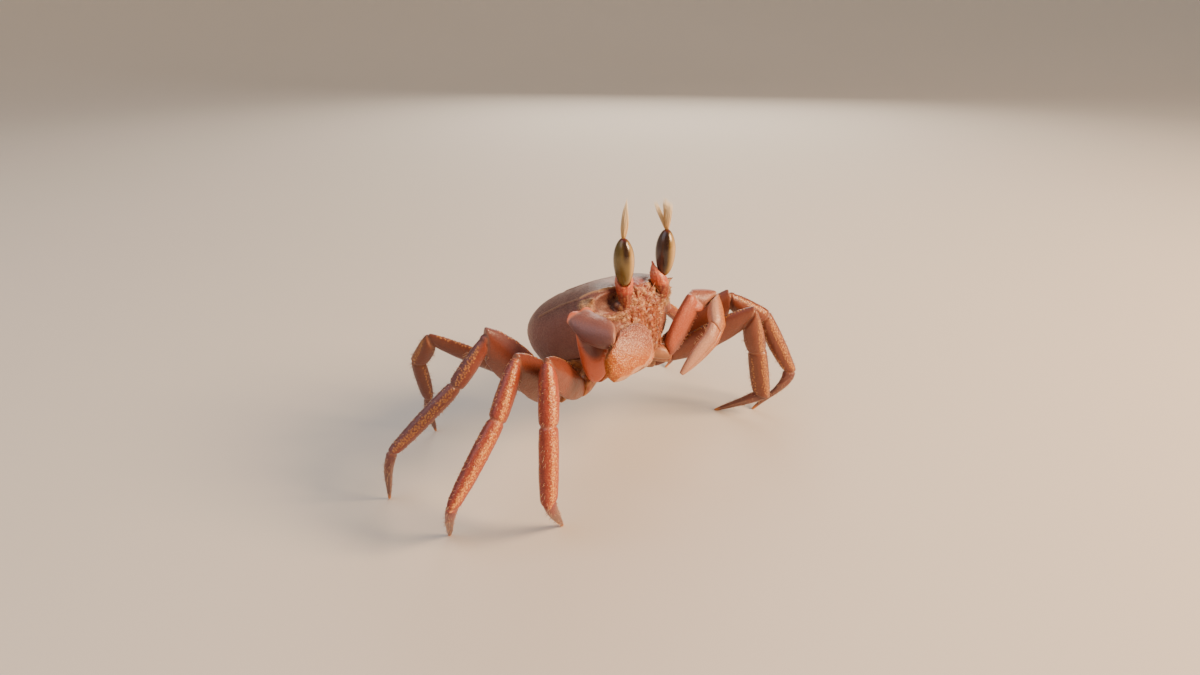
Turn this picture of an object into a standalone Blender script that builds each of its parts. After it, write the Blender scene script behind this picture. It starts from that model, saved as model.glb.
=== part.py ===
"""A tufted ghost crab (Ocypode cursor), life size, standing on its eight walking legs.

Lengths below are shares of the carapace width. The body has its own frame: x to the
crab's left, y to its back, z up from the level of the eye sockets. The leg poses are in
the standing frame, whose floor is z = 0.
"""
import math

import bpy
import bmesh
from mathutils import Matrix, Vector

# driving sizes, in metres and degrees
CARAPACE_WIDTH = 0.034
GAP = 0.0003
BODY_HEIGHT = 1.10      # of the eye-socket level over the floor
BODY_PITCH = 26.0       # front raised
BODY_ROLL = 5.0         # left side lower

# body, in carapace widths
BROAD = 0.53            # half width at the broadest level
FRONT = 0.44
BACK = 0.45
BROAD_LEVEL = -0.12
TOP = 0.145
BOTTOM = -0.50
SHELL_EDGE = -0.34      # lower edge of the carapace at mid length
SHELL_EDGE_RISE = 0.10  # how much that edge rises per length towards the back
FACE_NARROWING = 0.16   # how much the body narrows in front, below the eye sockets
BROW_HEIGHT = 0.07      # how far from eye level the brow's square front reaches
LOBE_LENGTH = 0.035     # the small lobe between the eyes
LOBE_WIDTH = 0.07
SOCKET_CENTRE = Vector((0.305, -0.46, -0.055))
SOCKET_RADII = (0.215, 0.115, 0.080)
# the two teeth at each orbit's outer corner: base, tip and base radius
ORBIT_TEETH = (((0.415, -0.325, -0.010), (0.462, -0.430, 0.008), 0.036),
               ((0.425, -0.325, -0.065), (0.470, -0.388, -0.058), 0.026))
TOOTH_TIP = 0.008
TOOTH_SIDES = 6
SOCKET_SEGMENTS = (18, 10)
BODY_SIDES = 32
RING_TURN = 12          # degrees between the rings, round the body's section
TOP_ROUNDNESS = (2.2, 1 / 2.4)      # powers of the upper body's width
FRONT_ROUNDNESS = (4, 1 / 3)        # powers of the upper body's front, which stays steep
LOW_ROUNDNESS = (2, 1 / 2.2)        # powers below the broadest level
BOTTOM_MARGIN = 0.02                # keeps the lowest ring from closing to a point
FRONT_SQUARENESS = 3                # power of the outline from above
BROW_SQUARENESS = 3                 # what the brow adds to it
BACK_SQUARENESS = 2.5
FACE_DEPTH = 0.2                    # how far below eye level the face is at its narrowest

# mouth plates
MOUTH_TOP = -0.15
MOUTH_BOTTOM = -0.45
MOUTH_HALF = 0.155
MOUTH_THICK = 0.06
MOUTH_LEAN = 14.0
MOUTH_INSET = 0.02      # of the mouth's upper edge, behind the front
MOUTH_OPEN = 0.3        # how far its recess is cut forward, clear of the face
MOUTH_EDGE = 0.018      # rounding of the plates

# abdomen flap under the tail end
FLAP_THICK = 0.032
FLAP_WIDE = 0.105       # half width at the back of the carapace
FLAP_NARROW = 0.045     # half width at its tip
FLAP_START = 0.28       # share of the way down the back where it starts
FLAP_END = 0.97         # and where it turns under
FLAP_REACH = (0.10, 0.0, -0.10)
FLAP_STEPS = 8
FLAP_SIDES = 12
FLAP_TAPER = 1.5        # power by which it narrows along its length

# eyes
EYE_BASE = Vector((0.224, -0.497, -0.020))
EYE_LEAN = 3.0
STALK_RADIUS = 0.043
TONGUE_TURN = 42.0      # the stalk's tongue stands on its inner side, turned this far to the back
CORNEA_START = 0.055
CORNEA_LENGTH = 0.345
CORNEA_RADIUS = 0.077
CORNEA_SEGMENTS = (16, 12)
EYE_SIDES = 12          # of the stalk and the brush
TUFTS = {"right": (0.25, -8.0), "left": (0.215, -11.0)}     # length and lean
TUFT_RADIUS = 0.028
# the stalk: distance up the eye, share of its radius, and shift towards the tongue
STALK_RINGS = ((-0.095, 0.7, 0), (-0.045, 1.0, 0.010), (-0.01, 1.2, 0.020), (0.03, 1.35, 0.035),
               (0.08, 1.4, 0.050), (0.12, 1.1, 0.066), (0.165, 0.25, 0.080))
# the brush: its foot on the cornea, then a leaf shape, each with a share of its radius
TUFT_FOOT = ((-0.035, 1.15), (0.005, 0.8))
TUFT_LEAF = ((0.15, 0.7), (0.3, 0.85), (0.45, 1.05), (0.7, 0.75), (1, 0.3))

# legs: lengths of merus, carpus, propodus and dactylus
LEG_LENGTHS = {
    1: (0.66, 0.33, 0.46, 0.42),
    2: (0.74, 0.34, 0.57, 0.45),
    3: (0.675, 0.34, 0.59, 0.46),
    4: (0.84, 0.27, 0.38, 0.35),
}
# half heights of merus, carpus and propodus, and thickness as a share of height
LEG_HEIGHTS = {
    1: (0.115, 0.074, 0.070, 0.80),
    2: (0.128, 0.070, 0.064, 0.78),
    3: (0.140, 0.058, 0.052, 0.80),
    4: (0.080, 0.060, 0.053, 0.75),
}
# where each merus starts, in the body frame on the left side
LEG_ROOTS = {
    1: (0.52, -0.14, -0.54),
    2: (0.54, 0.05, -0.54),
    3: (0.50, 0.22, -0.47),
    4: (0.40, 0.35, -0.45),
}
# pose: heading of each of the four lengths, and the slope of the first three
LEG_POSES = {
    "right_1": ((-159, -140, -140, 24), (32, -64, -72)),
    "right_2": ((-164, -171, 179, 58), (35, -53, -48)),
    "right_3": ((174, 150, 157, 74), (42.3, -52, -40)),
    "right_4": ((130, 92, 29, 29), (23, -52, -70)),
    "left_1": ((-52, -4, 4, 115), (27, -66, -72)),
    "left_2": ((-45, -36, -32, 135), (38, -29, -61)),
    "left_3": ((20, 10, 0, 165), (29.2, -40, -37)),
    "left_4": ((50, 62, 92, 130), (20, -56, -70)),
}
LEG_SIDES = 10
LIMB_STATIONS = 6
# how far a toe bows outwards, as a share of its ankle's height
TOE_BOW = 0.08
TOE_BOWS = {"left_2": 0.24}
HIP_LEVEL = -0.425        # where the hips leave the thorax
HIP_INSET = (0.40, 0.70)  # their places, as shares of the root's x and y
HIP_TAPER = (0.6, 1.1, 1)
HIP_SIZE = (0.60, 0.45)   # height and thickness, as shares of the merus
TIP_RADIUS = 0.011
# start, middle and end of each length, as shares of its half height; the toe is set by the propodus
LEG_TAPERS = {
    "merus": (0.60, 1.05, 0.72),
    "carpus": (0.92, 1.12, 1),
    "propodus": (1.05, 1.12, 0.78),
}
BROAD_ANKLES = {1: 0.98}  # the front legs' propodus hardly narrows
TOE_TAPER = (0.74, 0.52)
MERUS_FLATNESS = 0.62     # the merus is flatter than the other lengths by this share

# claws, in the body frame: root, elbow, wrist, knuckle and finger tip
CLAW_JOINTS = {
    "right": ((-0.50, -0.32, -0.475), (-0.63, -0.48, -0.160), (-0.630, -0.585, -0.295),
              (-0.375, -0.615, -0.460), (-0.310, -0.36, -0.535)),
    "left": ((0.26, -0.32, -0.50), (0.490, -0.530, -0.190), (0.63, -0.59, -0.23),
             (0.49, -0.65, -0.46), (0.19, -0.44, -0.68)),
}
# half heights of arm, wrist, palm and fingers, then half thicknesses
CLAW_SIZES = {
    "right": ((0.130, 0.105, 0.215, 0.085), (0.085, 0.085, 0.090, 0.055)),
    "left": ((0.118, 0.085, 0.098, 0.072), (0.060, 0.055, 0.055, 0.038)),
}
# start, middle and end of each claw length, heights and then thicknesses
CLAW_TAPERS = {
    "merus": ((0.6, 1, 0.8), (0.8, 1, 1)),
    "carpus": ((0.9, 1, 0.8), (1, 1, 0.8)),
    "palm_right": ((0.5, 1, 0.7), (0.7, 1, 0.8)),
    "palm_left": ((0.75, 1, 0.75), (0.7, 1, 0.8)),
}
# the lower half of each palm at its wrist and knuckle, as shares of the upper half
PALM_BELLIES = {"right": (1.25, 0.3), "left": (1.0, 1.0)}
FINGER_START = 0.75       # share of the palm's height and thickness at the knuckle
FINGER_TIP = 0.014
HAND_SIDES = 14
CLAW_HIP_SIZE = (0.45, 0.8)

COLOURS = {
    "shell": ((0.55, 0.33, 0.27), 0.5),
    "underside": ((0.72, 0.40, 0.24), 0.5),
    "leg": ((0.68, 0.30, 0.17), 0.45),
    "claw": ((0.72, 0.38, 0.25), 0.45),
    "cornea": ((0.20, 0.16, 0.09), 0.1),
    "stalk": ((0.62, 0.20, 0.12), 0.4),
    "tuft": ((0.80, 0.62, 0.34), 0.7),
}

for thing in list(bpy.data.objects):
    bpy.data.objects.remove(thing, do_unlink=True)

parts = bpy.data.collections.new("tufted_ghost_crab")
cutters = bpy.data.collections.new("cutters")
bpy.context.scene.collection.children.link(parts)
bpy.context.scene.collection.children.link(cutters)

body_turn = (Matrix.Rotation(math.radians(BODY_ROLL), 4, "Y")
             @ Matrix.Rotation(math.radians(-BODY_PITCH), 4, "X"))
body_frame = Matrix.Translation((0, 0, BODY_HEIGHT)) @ body_turn


def material(name):
    colour, roughness = COLOURS[name]
    finish = bpy.data.materials.get(name) or bpy.data.materials.new(name)
    finish.use_nodes = True
    shader = finish.node_tree.nodes["Principled BSDF"]
    shader.inputs["Base Color"].default_value = (*colour, 1)
    shader.inputs["Roughness"].default_value = roughness
    shader.inputs["Metallic"].default_value = 0
    return finish


def place(name, mesh_data, finish, collection=parts):
    """Turn a bmesh in carapace widths into an object in metres."""
    bmesh.ops.scale(mesh_data, vec=[CARAPACE_WIDTH] * 3, verts=mesh_data.verts)
    bmesh.ops.recalc_face_normals(mesh_data, faces=mesh_data.faces)
    mesh = bpy.data.meshes.new(name)
    mesh_data.to_mesh(mesh)
    mesh_data.free()
    mesh.materials.append(material(finish))
    mesh.shade_smooth()
    piece = bpy.data.objects.new(name, mesh)
    collection.objects.link(piece)
    if collection is cutters:
        piece.hide_render = True
        piece.display_type = "WIRE"
    return piece


def boolean(piece, operation, tool):
    modifier = piece.modifiers.new(tool.name, "BOOLEAN")
    modifier.operation = operation
    modifier.object = tool
    modifier.solver = "EXACT"


def loft(rings):
    """Join rings of equal count into one closed body."""
    mesh_data = bmesh.new()
    loops = [[mesh_data.verts.new(point) for point in ring] for ring in rings]
    count = len(loops[0])
    for low, high in zip(loops, loops[1:]):
        for i in range(count):
            j = (i + 1) % count
            mesh_data.faces.new((low[i], low[j], high[j], high[i]))
    mesh_data.faces.new(loops[0])
    mesh_data.faces.new(reversed(loops[-1]))
    return mesh_data


def ellipse(centre, up, side, height, thick, sides=LEG_SIDES, belly=1.0):
    """A ring whose lower half has its height times the belly's share."""
    ring = []
    for i in range(sides):
        turn = 2 * math.pi * i / sides
        rise = height * math.cos(turn)
        ring.append(centre + up * (rise if rise > 0 else rise * belly) + side * (thick * math.sin(turn)))
    return ring


def slide(ring, axis, point, normal):
    """Slide a ring along its axis on to a plane, as a mitre does."""
    return [v + axis * ((point - v).dot(normal) / axis.dot(normal)) for v in ring]


def swell(start, middle, end, t):
    """A size that runs from start to end and reaches middle half way."""
    return start + (end - start) * t + (middle - (start + end) / 2) * math.sin(math.pi * t) ** 0.8


def limb(joints, index, side, heights, thicks, planes, sides=LEG_SIDES, bellies=(1, 1), bow=0.0):
    """One length of a limb, cut at both ends by the planes it shares with its neighbours."""
    start, end = joints[index], joints[index + 1]
    axis = (end - start).normalized()
    across = (side - axis * side.dot(axis)).normalized()
    up = across.cross(axis)
    half_gap = GAP / CARAPACE_WIDTH / 2
    first, last = planes
    rings = []
    for i in range(LIMB_STATIONS):
        t = i / (LIMB_STATIONS - 1)
        belly = bellies[0] + (bellies[1] - bellies[0]) * t ** 2
        centre = start - up * (bow * math.sin(math.pi * t) * (1 - t))
        ring = ellipse(centre, up, across, swell(*heights, t), swell(*thicks, t), sides, belly)
        near = slide(ring, axis, start + first * half_gap, first)
        far = slide(ring, axis, end - last * half_gap, last)
        rings.append([a.lerp(b, t) for a, b in zip(near, far)])
    return rings


def mitres(joints, first, last):
    """Plane normals at each joint: the given ones at the ends, half-way ones between."""
    axes = [(b - a).normalized() for a, b in zip(joints, joints[1:])]
    return [first] + [(a + b).normalized() for a, b in zip(axes, axes[1:])] + [last]


# body

def plan(turn, front, back, broad, front_power, back_power):
    """Outline from above: boxy in front, rounder behind."""
    x, y = math.cos(turn), math.sin(turn)
    depth, power = (front, front_power) if y < 0 else (back, back_power)
    reach = (abs(x / broad) ** power + abs(y / depth) ** power) ** (-1 / power)
    return x * reach, y * reach


def girth(level):
    """The body's width and the reach of its front at one level, as shares of the greatest."""
    if level > BROAD_LEVEL:
        rise = (level - BROAD_LEVEL) / (TOP - BROAD_LEVEL)
        return tuple((1 - rise ** a) ** b for a, b in (TOP_ROUNDNESS, FRONT_ROUNDNESS))
    drop = (BROAD_LEVEL - level) / (BROAD_LEVEL - BOTTOM + BOTTOM_MARGIN)
    width = (1 - drop ** LOW_ROUNDNESS[0]) ** LOW_ROUNDNESS[1]
    return width, width


def body_ring(level):
    """The body's outline at one level, with the brow over the eye sockets near z = 0."""
    width, front = girth(level)
    brow = math.exp(-(level / BROW_HEIGHT) ** 2)
    below = min(max(-level / FACE_DEPTH, 0), 1)
    squareness = FRONT_SQUARENESS + BROW_SQUARENESS * brow
    ring = []
    for i in range(BODY_SIDES):
        turn = 2 * math.pi * i / BODY_SIDES
        x, y = plan(turn, FRONT * front, BACK * width, BROAD * width, squareness, BACK_SQUARENESS)
        if y < 0:
            x *= 1 - FACE_NARROWING * below * (y / FRONT) ** 2
            y -= LOBE_LENGTH * brow * math.exp(-(x / LOBE_WIDTH) ** 2)
        ring.append(Vector((x, y, level)))
    return ring


def body_levels():
    """Levels of the rings from the bottom to just under the top, closer together at both ends."""
    above = [math.sin(math.radians(a)) * (TOP - BROAD_LEVEL) for a in range(0, 86, RING_TURN)]
    below = [math.sin(math.radians(a)) * (BOTTOM - BROAD_LEVEL) for a in range(90, 5, -RING_TURN)]
    return [BROAD_LEVEL + rise for rise in below + above]


def half_body(keep_above):
    """The body above or below the lower edge of the carapace, cut by a thin slit."""
    mesh_data = loft([body_ring(level) for level in body_levels()])
    normal = Vector((0, -SHELL_EDGE_RISE, 1)).normalized()
    offset = GAP / CARAPACE_WIDTH / 2 * (1 if keep_above else -1)
    cut = bmesh.ops.bisect_plane(
        mesh_data, geom=mesh_data.verts[:] + mesh_data.edges[:] + mesh_data.faces[:],
        plane_co=Vector((0, 0, SHELL_EDGE)) + normal * offset, plane_no=normal,
        clear_inner=keep_above, clear_outer=not keep_above)
    rim = [e for e in cut["geom_cut"] if isinstance(e, bmesh.types.BMEdge)]
    bmesh.ops.holes_fill(mesh_data, edges=rim, sides=0)
    return mesh_data


def mouth_box(half, top, bottom, front, back):
    """A box across the mouth, leaning with the face."""
    mesh_data = bmesh.new()
    bmesh.ops.create_cube(mesh_data, size=1)
    bmesh.ops.scale(mesh_data, vec=(half[1] - half[0], back - front, top - bottom), verts=mesh_data.verts)
    centre = Vector(((half[0] + half[1]) / 2, (front + back) / 2, (top + bottom) / 2))
    lean = Matrix.Rotation(math.radians(MOUTH_LEAN), 4, "X")
    pivot = Matrix.Translation((0, -FRONT + MOUTH_INSET, MOUTH_TOP))
    bmesh.ops.transform(mesh_data, matrix=pivot @ lean @ Matrix.Translation(centre), verts=mesh_data.verts)
    bmesh.ops.transform(mesh_data, matrix=body_frame, verts=mesh_data.verts)
    return mesh_data


def orbit_tooth(root, point, radius):
    mesh_data = bmesh.new()
    axis = point - root
    bmesh.ops.create_cone(mesh_data, cap_ends=True, segments=TOOTH_SIDES, radius1=radius,
                          radius2=TOOTH_TIP, depth=axis.length)
    turn = axis.to_track_quat("Z", "Y").to_matrix().to_4x4()
    middle = Matrix.Translation((root + point) / 2)
    bmesh.ops.transform(mesh_data, matrix=middle @ turn, verts=mesh_data.verts)
    return mesh_data


def make_body():
    gap = GAP / CARAPACE_WIDTH
    shells = {}
    for name, above, finish in (("carapace", True, "shell"), ("thorax", False, "underside")):
        mesh_data = half_body(above)
        bmesh.ops.transform(mesh_data, matrix=body_frame, verts=mesh_data.verts)
        shells[name] = place(name, mesh_data, finish)
    tall = MOUTH_TOP - MOUTH_BOTTOM
    recess = place("mouth_recess", mouth_box((-MOUTH_HALF - gap, MOUTH_HALF + gap), gap, -tall - gap,
                                             -MOUTH_OPEN, MOUTH_THICK / 2 + gap), "shell", cutters)
    boolean(shells["carapace"], "DIFFERENCE", recess)
    boolean(shells["thorax"], "DIFFERENCE", recess)
    for name, sign in (("right", -1), ("left", 1)):
        inner, outer = sorted((sign * gap / 2, sign * MOUTH_HALF))
        plate = place("maxilliped_" + name, mouth_box((inner, outer), 0, -tall, -MOUTH_THICK / 2,
                                                      MOUTH_THICK / 2), "underside")
        bevel = plate.modifiers.new("edges", "BEVEL")
        bevel.width = MOUTH_EDGE * CARAPACE_WIDTH
        bevel.segments = 2
    for name, sign in (("right", -1), ("left", 1)):
        mesh_data = bmesh.new()
        bmesh.ops.create_uvsphere(mesh_data, u_segments=SOCKET_SEGMENTS[0], v_segments=SOCKET_SEGMENTS[1],
                                  radius=1)
        size = Matrix.Diagonal((*SOCKET_RADII, 1))
        spot = Matrix.Translation((sign * SOCKET_CENTRE.x, SOCKET_CENTRE.y, SOCKET_CENTRE.z))
        bmesh.ops.transform(mesh_data, matrix=body_frame @ spot @ size, verts=mesh_data.verts)
        boolean(shells["carapace"], "DIFFERENCE", place("socket_" + name, mesh_data, "shell", cutters))
        for number, (root, point, radius) in enumerate(ORBIT_TEETH, 1):
            tooth = orbit_tooth(Vector(root), Vector(point), radius)
            mirror = Matrix.Diagonal((sign, 1, 1, 1))
            bmesh.ops.transform(tooth, matrix=body_frame @ mirror, verts=tooth.verts)
            boolean(shells["carapace"], "UNION", place(f"tooth_{name}_{number}", tooth, "shell", cutters))
    return shells["thorax"]


def make_flap():
    """The abdomen, folded from the back of the carapace under the thorax."""
    gap = GAP / CARAPACE_WIDTH
    offset = gap * 1.5 + FLAP_THICK / 2
    path = []
    for i in range(FLAP_STEPS + 1):
        drop = FLAP_START + (FLAP_END - FLAP_START) * i / FLAP_STEPS
        level = BROAD_LEVEL + (BOTTOM - BROAD_LEVEL) * drop
        path.append(Vector((0, BACK * girth(level)[0], level)))
    path += [Vector((0, y, BOTTOM)) for y in FLAP_REACH]
    rings = []
    for i, point in enumerate(path):
        along = (path[min(i + 1, len(path) - 1)] - path[max(i - 1, 0)]).normalized()
        out = Vector((0, -along.z, along.y))
        t = i / (len(path) - 1)
        half = FLAP_WIDE + (FLAP_NARROW - FLAP_WIDE) * t ** FLAP_TAPER
        rings.append([body_frame @ v for v in ellipse(point + out * offset, out, Vector((1, 0, 0)),
                                                      FLAP_THICK / 2, half, FLAP_SIDES)])
    place("abdomen", loft(rings), "underside")


# eyes

def make_eye(name, sign):
    base = body_frame @ Vector((sign * EYE_BASE.x, EYE_BASE.y, EYE_BASE.z))
    axis = Matrix.Rotation(math.radians(sign * EYE_LEAN), 3, "Y") @ Vector((0, 0, 1))
    side = Vector((0, 1, 0))
    across = side.cross(axis).normalized()
    gap = GAP / CARAPACE_WIDTH

    tongue = math.radians(TONGUE_TURN)
    inward = across * (-sign * math.cos(tongue)) + side * math.sin(tongue)

    def ring(distance, radius, shift=0.0, towards=inward):
        return ellipse(base + axis * distance + towards * shift, across, side, radius, radius, EYE_SIDES)

    rings = [ring(distance, STALK_RADIUS * share, shift) for distance, share, shift in STALK_RINGS]
    stalk = place("eyestalk_" + name, loft(rings), "stalk")

    def spheroid(grow):
        mesh_data = bmesh.new()
        bmesh.ops.create_uvsphere(mesh_data, u_segments=CORNEA_SEGMENTS[0], v_segments=CORNEA_SEGMENTS[1],
                                  radius=1)
        centre = base + axis * (CORNEA_START + CORNEA_LENGTH / 2)
        size = Matrix.Diagonal((CORNEA_RADIUS + grow, CORNEA_RADIUS + grow, CORNEA_LENGTH / 2 + grow, 1))
        turn = axis.to_track_quat("Z", "Y").to_matrix().to_4x4()
        bmesh.ops.transform(mesh_data, matrix=Matrix.Translation(centre) @ turn @ size,
                            verts=mesh_data.verts)
        return mesh_data

    place("cornea_" + name, spheroid(0), "cornea")
    clearance = place("cornea_seat_" + name, spheroid(gap), "cornea", cutters)
    boolean(stalk, "DIFFERENCE", clearance)
    tip = CORNEA_START + CORNEA_LENGTH
    length, lean = TUFTS[name]
    lean = math.tan(math.radians(EYE_LEAN - lean))
    outward = across * -sign
    brush = [ring(tip + distance, TUFT_RADIUS * share) for distance, share in TUFT_FOOT]
    for share, radius in TUFT_LEAF:
        shift = length * share * lean
        brush.append(ring(tip + length * share, TUFT_RADIUS * radius, shift, outward))
    tuft = place("eye_tuft_" + name, loft(brush), "tuft")
    boolean(tuft, "DIFFERENCE", clearance)


# legs

def heading(turn, slope):
    turn, slope = math.radians(turn), math.radians(slope)
    return Vector((math.cos(turn) * math.cos(slope), math.sin(turn) * math.cos(slope), math.sin(slope)))


def scaled(size, shares):
    return [size * share for share in shares]


def hip_point(root):
    """Where the coxa that carries a limb leaves the thorax."""
    return body_frame @ Vector((root[0] * HIP_INSET[0], root[1] * HIP_INSET[1], HIP_LEVEL))


def make_hip(name, joints, side, planes, height, thick, thorax):
    """The short coxa, joined to the thorax."""
    rings = limb(joints, 0, side, scaled(height, HIP_TAPER), scaled(thick, HIP_TAPER), planes[0:2])
    boolean(thorax, "UNION", place("hip_" + name, loft(rings), "underside", cutters))


def leg_joints(name):
    """Joint points from the pose. The last length slopes so that its tip meets the floor."""
    side, number = name.split("_")
    out, along, level = LEG_ROOTS[int(number)]
    root = (out if side == "left" else -out, along, level)
    joints = [hip_point(root), body_frame @ Vector(root)]
    lengths = LEG_LENGTHS[int(number)]
    turns, slopes = LEG_POSES[name]
    for length, turn, slope in zip(lengths, turns, slopes):
        joints.append(joints[-1] + heading(turn, slope) * length)
    drop = math.degrees(math.asin(joints[-1].z / lengths[3]))
    joints.append(joints[-1] + heading(turns[3], -drop) * lengths[3])
    return joints


def make_leg(name, thorax):
    number = int(name[-1])
    joints = leg_joints(name)
    merus, carpus, propodus, flatness = LEG_HEIGHTS[number]
    axes = [(b - a).normalized() for a, b in zip(joints, joints[1:])]
    side = axes[1].cross(axes[3]).normalized()
    planes = mitres(joints, axes[0], Vector((0, 0, -1)))
    ankle = BROAD_ANKLES.get(number, LEG_TAPERS["propodus"][2])
    heights = {
        "merus": scaled(merus, LEG_TAPERS["merus"]),
        "carpus": scaled(carpus, LEG_TAPERS["carpus"]),
        "propodus": scaled(propodus, [*LEG_TAPERS["propodus"][:2], ankle]),
        "dactylus": scaled(propodus, TOE_TAPER) + [TIP_RADIUS],
    }
    for index, (part, sizes) in enumerate(heights.items(), 1):
        flat = flatness * (MERUS_FLATNESS if part == "merus" else 1)
        thicks = [max(size * flat, TIP_RADIUS) for size in sizes]
        bow = TOE_BOWS.get(name, TOE_BOW) * joints[4].z if part == "dactylus" else 0
        rings = limb(joints, index, side, sizes, thicks, planes[index:index + 2], bow=bow)
        place("leg_" + name + "_" + part, loft(rings), "leg")
    make_hip(name, joints, side, planes, *scaled(merus, HIP_SIZE), thorax)


# claws

def make_claw(name, thorax):
    joints = [hip_point(CLAW_JOINTS[name][0])] + [body_frame @ Vector(point) for point in CLAW_JOINTS[name]]
    (arm, wrist, palm, finger), (arm_t, wrist_t, palm_t, finger_t) = CLAW_SIZES[name]
    axes = [(b - a).normalized() for a, b in zip(joints, joints[1:])]
    planes = mitres(joints, axes[0], axes[4])
    side = axes[3].cross(body_turn.to_3x3() @ Vector((0, 0, 1))).normalized()
    stem = "claw_" + name + "_"
    rings = {}
    for index, (part, height, thick) in enumerate((("merus", arm, arm_t), ("carpus", wrist, wrist_t),
                                                   ("palm", palm, palm_t)), 1):
        hand = part == "palm"
        tall, deep = CLAW_TAPERS["palm_" + name if hand else part]
        rings[part] = limb(joints, index, side, scaled(height, tall), scaled(thick, deep),
                           planes[index:index + 2], HAND_SIDES if hand else LEG_SIDES,
                           PALM_BELLIES[name] if hand else (1, 1))
    place(stem + "merus", loft(rings["merus"]), "claw")
    place(stem + "carpus", loft(rings["carpus"]), "claw")
    reach = limb(joints, 4, side, (palm * FINGER_START, finger, FINGER_TIP),
                 (palm_t * FINGER_START, finger_t, FINGER_TIP), planes[4:6], HAND_SIDES,
                 (PALM_BELLIES[name][1], 1))
    knuckle = joints[4]
    across = (side - axes[4] * side.dot(axes[4])).normalized()
    up = across.cross(axes[4])
    gap = GAP / CARAPACE_WIDTH

    def block(label, back, low):
        mesh_data = bmesh.new()
        bmesh.ops.create_cube(mesh_data, size=1)
        bmesh.ops.translate(mesh_data, vec=(0.5, 0.5, 0), verts=mesh_data.verts)
        turn = Matrix((axes[4], up, across)).transposed().to_4x4()
        spot = Matrix.Translation(knuckle + axes[4] * back + up * low)
        bmesh.ops.transform(mesh_data, matrix=spot @ turn, verts=mesh_data.verts)
        return place(label + name, mesh_data, "claw", cutters)

    whole = rings["palm"][:-1] + reach[1:]
    boolean(place(stem + "palm", loft(whole), "claw"), "DIFFERENCE", block("gape_", -gap, -gap))
    boolean(place(stem + "finger", loft(whole), "claw"), "INTERSECT", block("finger_", 0, 0))
    make_hip("claw_" + name, joints, side, planes, arm * CLAW_HIP_SIZE[0], arm_t * CLAW_HIP_SIZE[1],
             thorax)


thorax = make_body()
make_flap()
for name, sign in (("right", -1), ("left", 1)):
    make_eye(name, sign)
    make_claw(name, thorax)
for name in LEG_POSES:
    make_leg(name, thorax)

# the stance is centred over the origin
bpy.context.view_layer.update()
corners = [piece.matrix_world @ Vector(corner) for piece in parts.objects for corner in piece.bound_box]
low = Vector([min(corner[i] for corner in corners) for i in range(3)])
high = Vector([max(corner[i] for corner in corners) for i in range(3)])
stand_shift = Vector((-(low.x + high.x) / 2, -(low.y + high.y) / 2, -low.z))
for piece in list(parts.objects) + list(cutters.objects):
    piece.location = stand_shift
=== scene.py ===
import math
import random

import bmesh
import bpy
import numpy as np
from mathutils import Matrix, Vector, kdtree, noise
from mathutils.bvhtree import BVHTree


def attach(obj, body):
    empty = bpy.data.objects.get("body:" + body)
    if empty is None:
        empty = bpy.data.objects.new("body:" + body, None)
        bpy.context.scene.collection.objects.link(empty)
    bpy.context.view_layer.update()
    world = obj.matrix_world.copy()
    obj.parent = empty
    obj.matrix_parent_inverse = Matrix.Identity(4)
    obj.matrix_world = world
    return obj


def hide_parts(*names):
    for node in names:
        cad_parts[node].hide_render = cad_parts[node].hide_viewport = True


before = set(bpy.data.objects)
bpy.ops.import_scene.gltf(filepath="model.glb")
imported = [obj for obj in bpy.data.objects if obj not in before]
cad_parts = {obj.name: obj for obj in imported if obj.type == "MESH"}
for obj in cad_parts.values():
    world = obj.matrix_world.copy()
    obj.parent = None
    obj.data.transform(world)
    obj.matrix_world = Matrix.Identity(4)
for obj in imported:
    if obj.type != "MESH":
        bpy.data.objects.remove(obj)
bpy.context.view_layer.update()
mm = 0.001
rng = random.Random(7)

# the body's own frame: x to the crab's left, y to its back, z up, in shell widths
stance = {
    "shellWidth": 34 * mm,
    "pitch": 26,  # degrees, front raised
    "roll": 5,  # degrees, left side lower
    "eyeFoot": (-0.497, -0.02),  # y and z of the eyestalks' feet
    "eyeMiddle": 0.2275,  # from the eye's foot to the middle of the cornea
    "eyeLean": 3,  # degrees
}
bodyTurn = (Matrix.Rotation(math.radians(stance["roll"]), 3, "Y")
            @ Matrix.Rotation(math.radians(-stance["pitch"]), 3, "X"))
turnTable = np.array(bodyTurn)


def cadCage(name):
    cage = bmesh.new()
    cage.from_mesh(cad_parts[name].data)
    bmesh.ops.remove_doubles(cage, verts=cage.verts, dist=0.001 * mm)
    return cage


def cadPoints(name):
    cage = cadCage(name)
    points = np.array([v.co for v in cage.verts])
    cage.free()
    return points


eyes = Vector((cadPoints("cornea_right").mean(0) + cadPoints("cornea_left").mean(0)) / 2)
foot = bodyTurn @ Vector((0, *stance["eyeFoot"]))
rise = stance["eyeMiddle"] * math.cos(math.radians(stance["eyeLean"]))
bodyOrigin = eyes - (foot + Vector((0, 0, rise))) * stance["shellWidth"]


def onBody(x, y, z):
    return bodyOrigin + bodyTurn @ Vector((x, y, z)) * stance["shellWidth"]


def toBody(points):
    return (points - np.array(bodyOrigin)) @ turnTable / stance["shellWidth"]


def fromBody(points):
    return points @ turnTable.T * stance["shellWidth"] + np.array(bodyOrigin)


# mesh helpers

def newObject(name, data):
    piece = bpy.data.objects.new(name, data)
    bpy.context.scene.collection.objects.link(piece)
    return piece


def meshObject(name, cage):
    mesh = bpy.data.meshes.new(name)
    cage.to_mesh(mesh)
    cage.free()
    return newObject(name, mesh)


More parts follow.
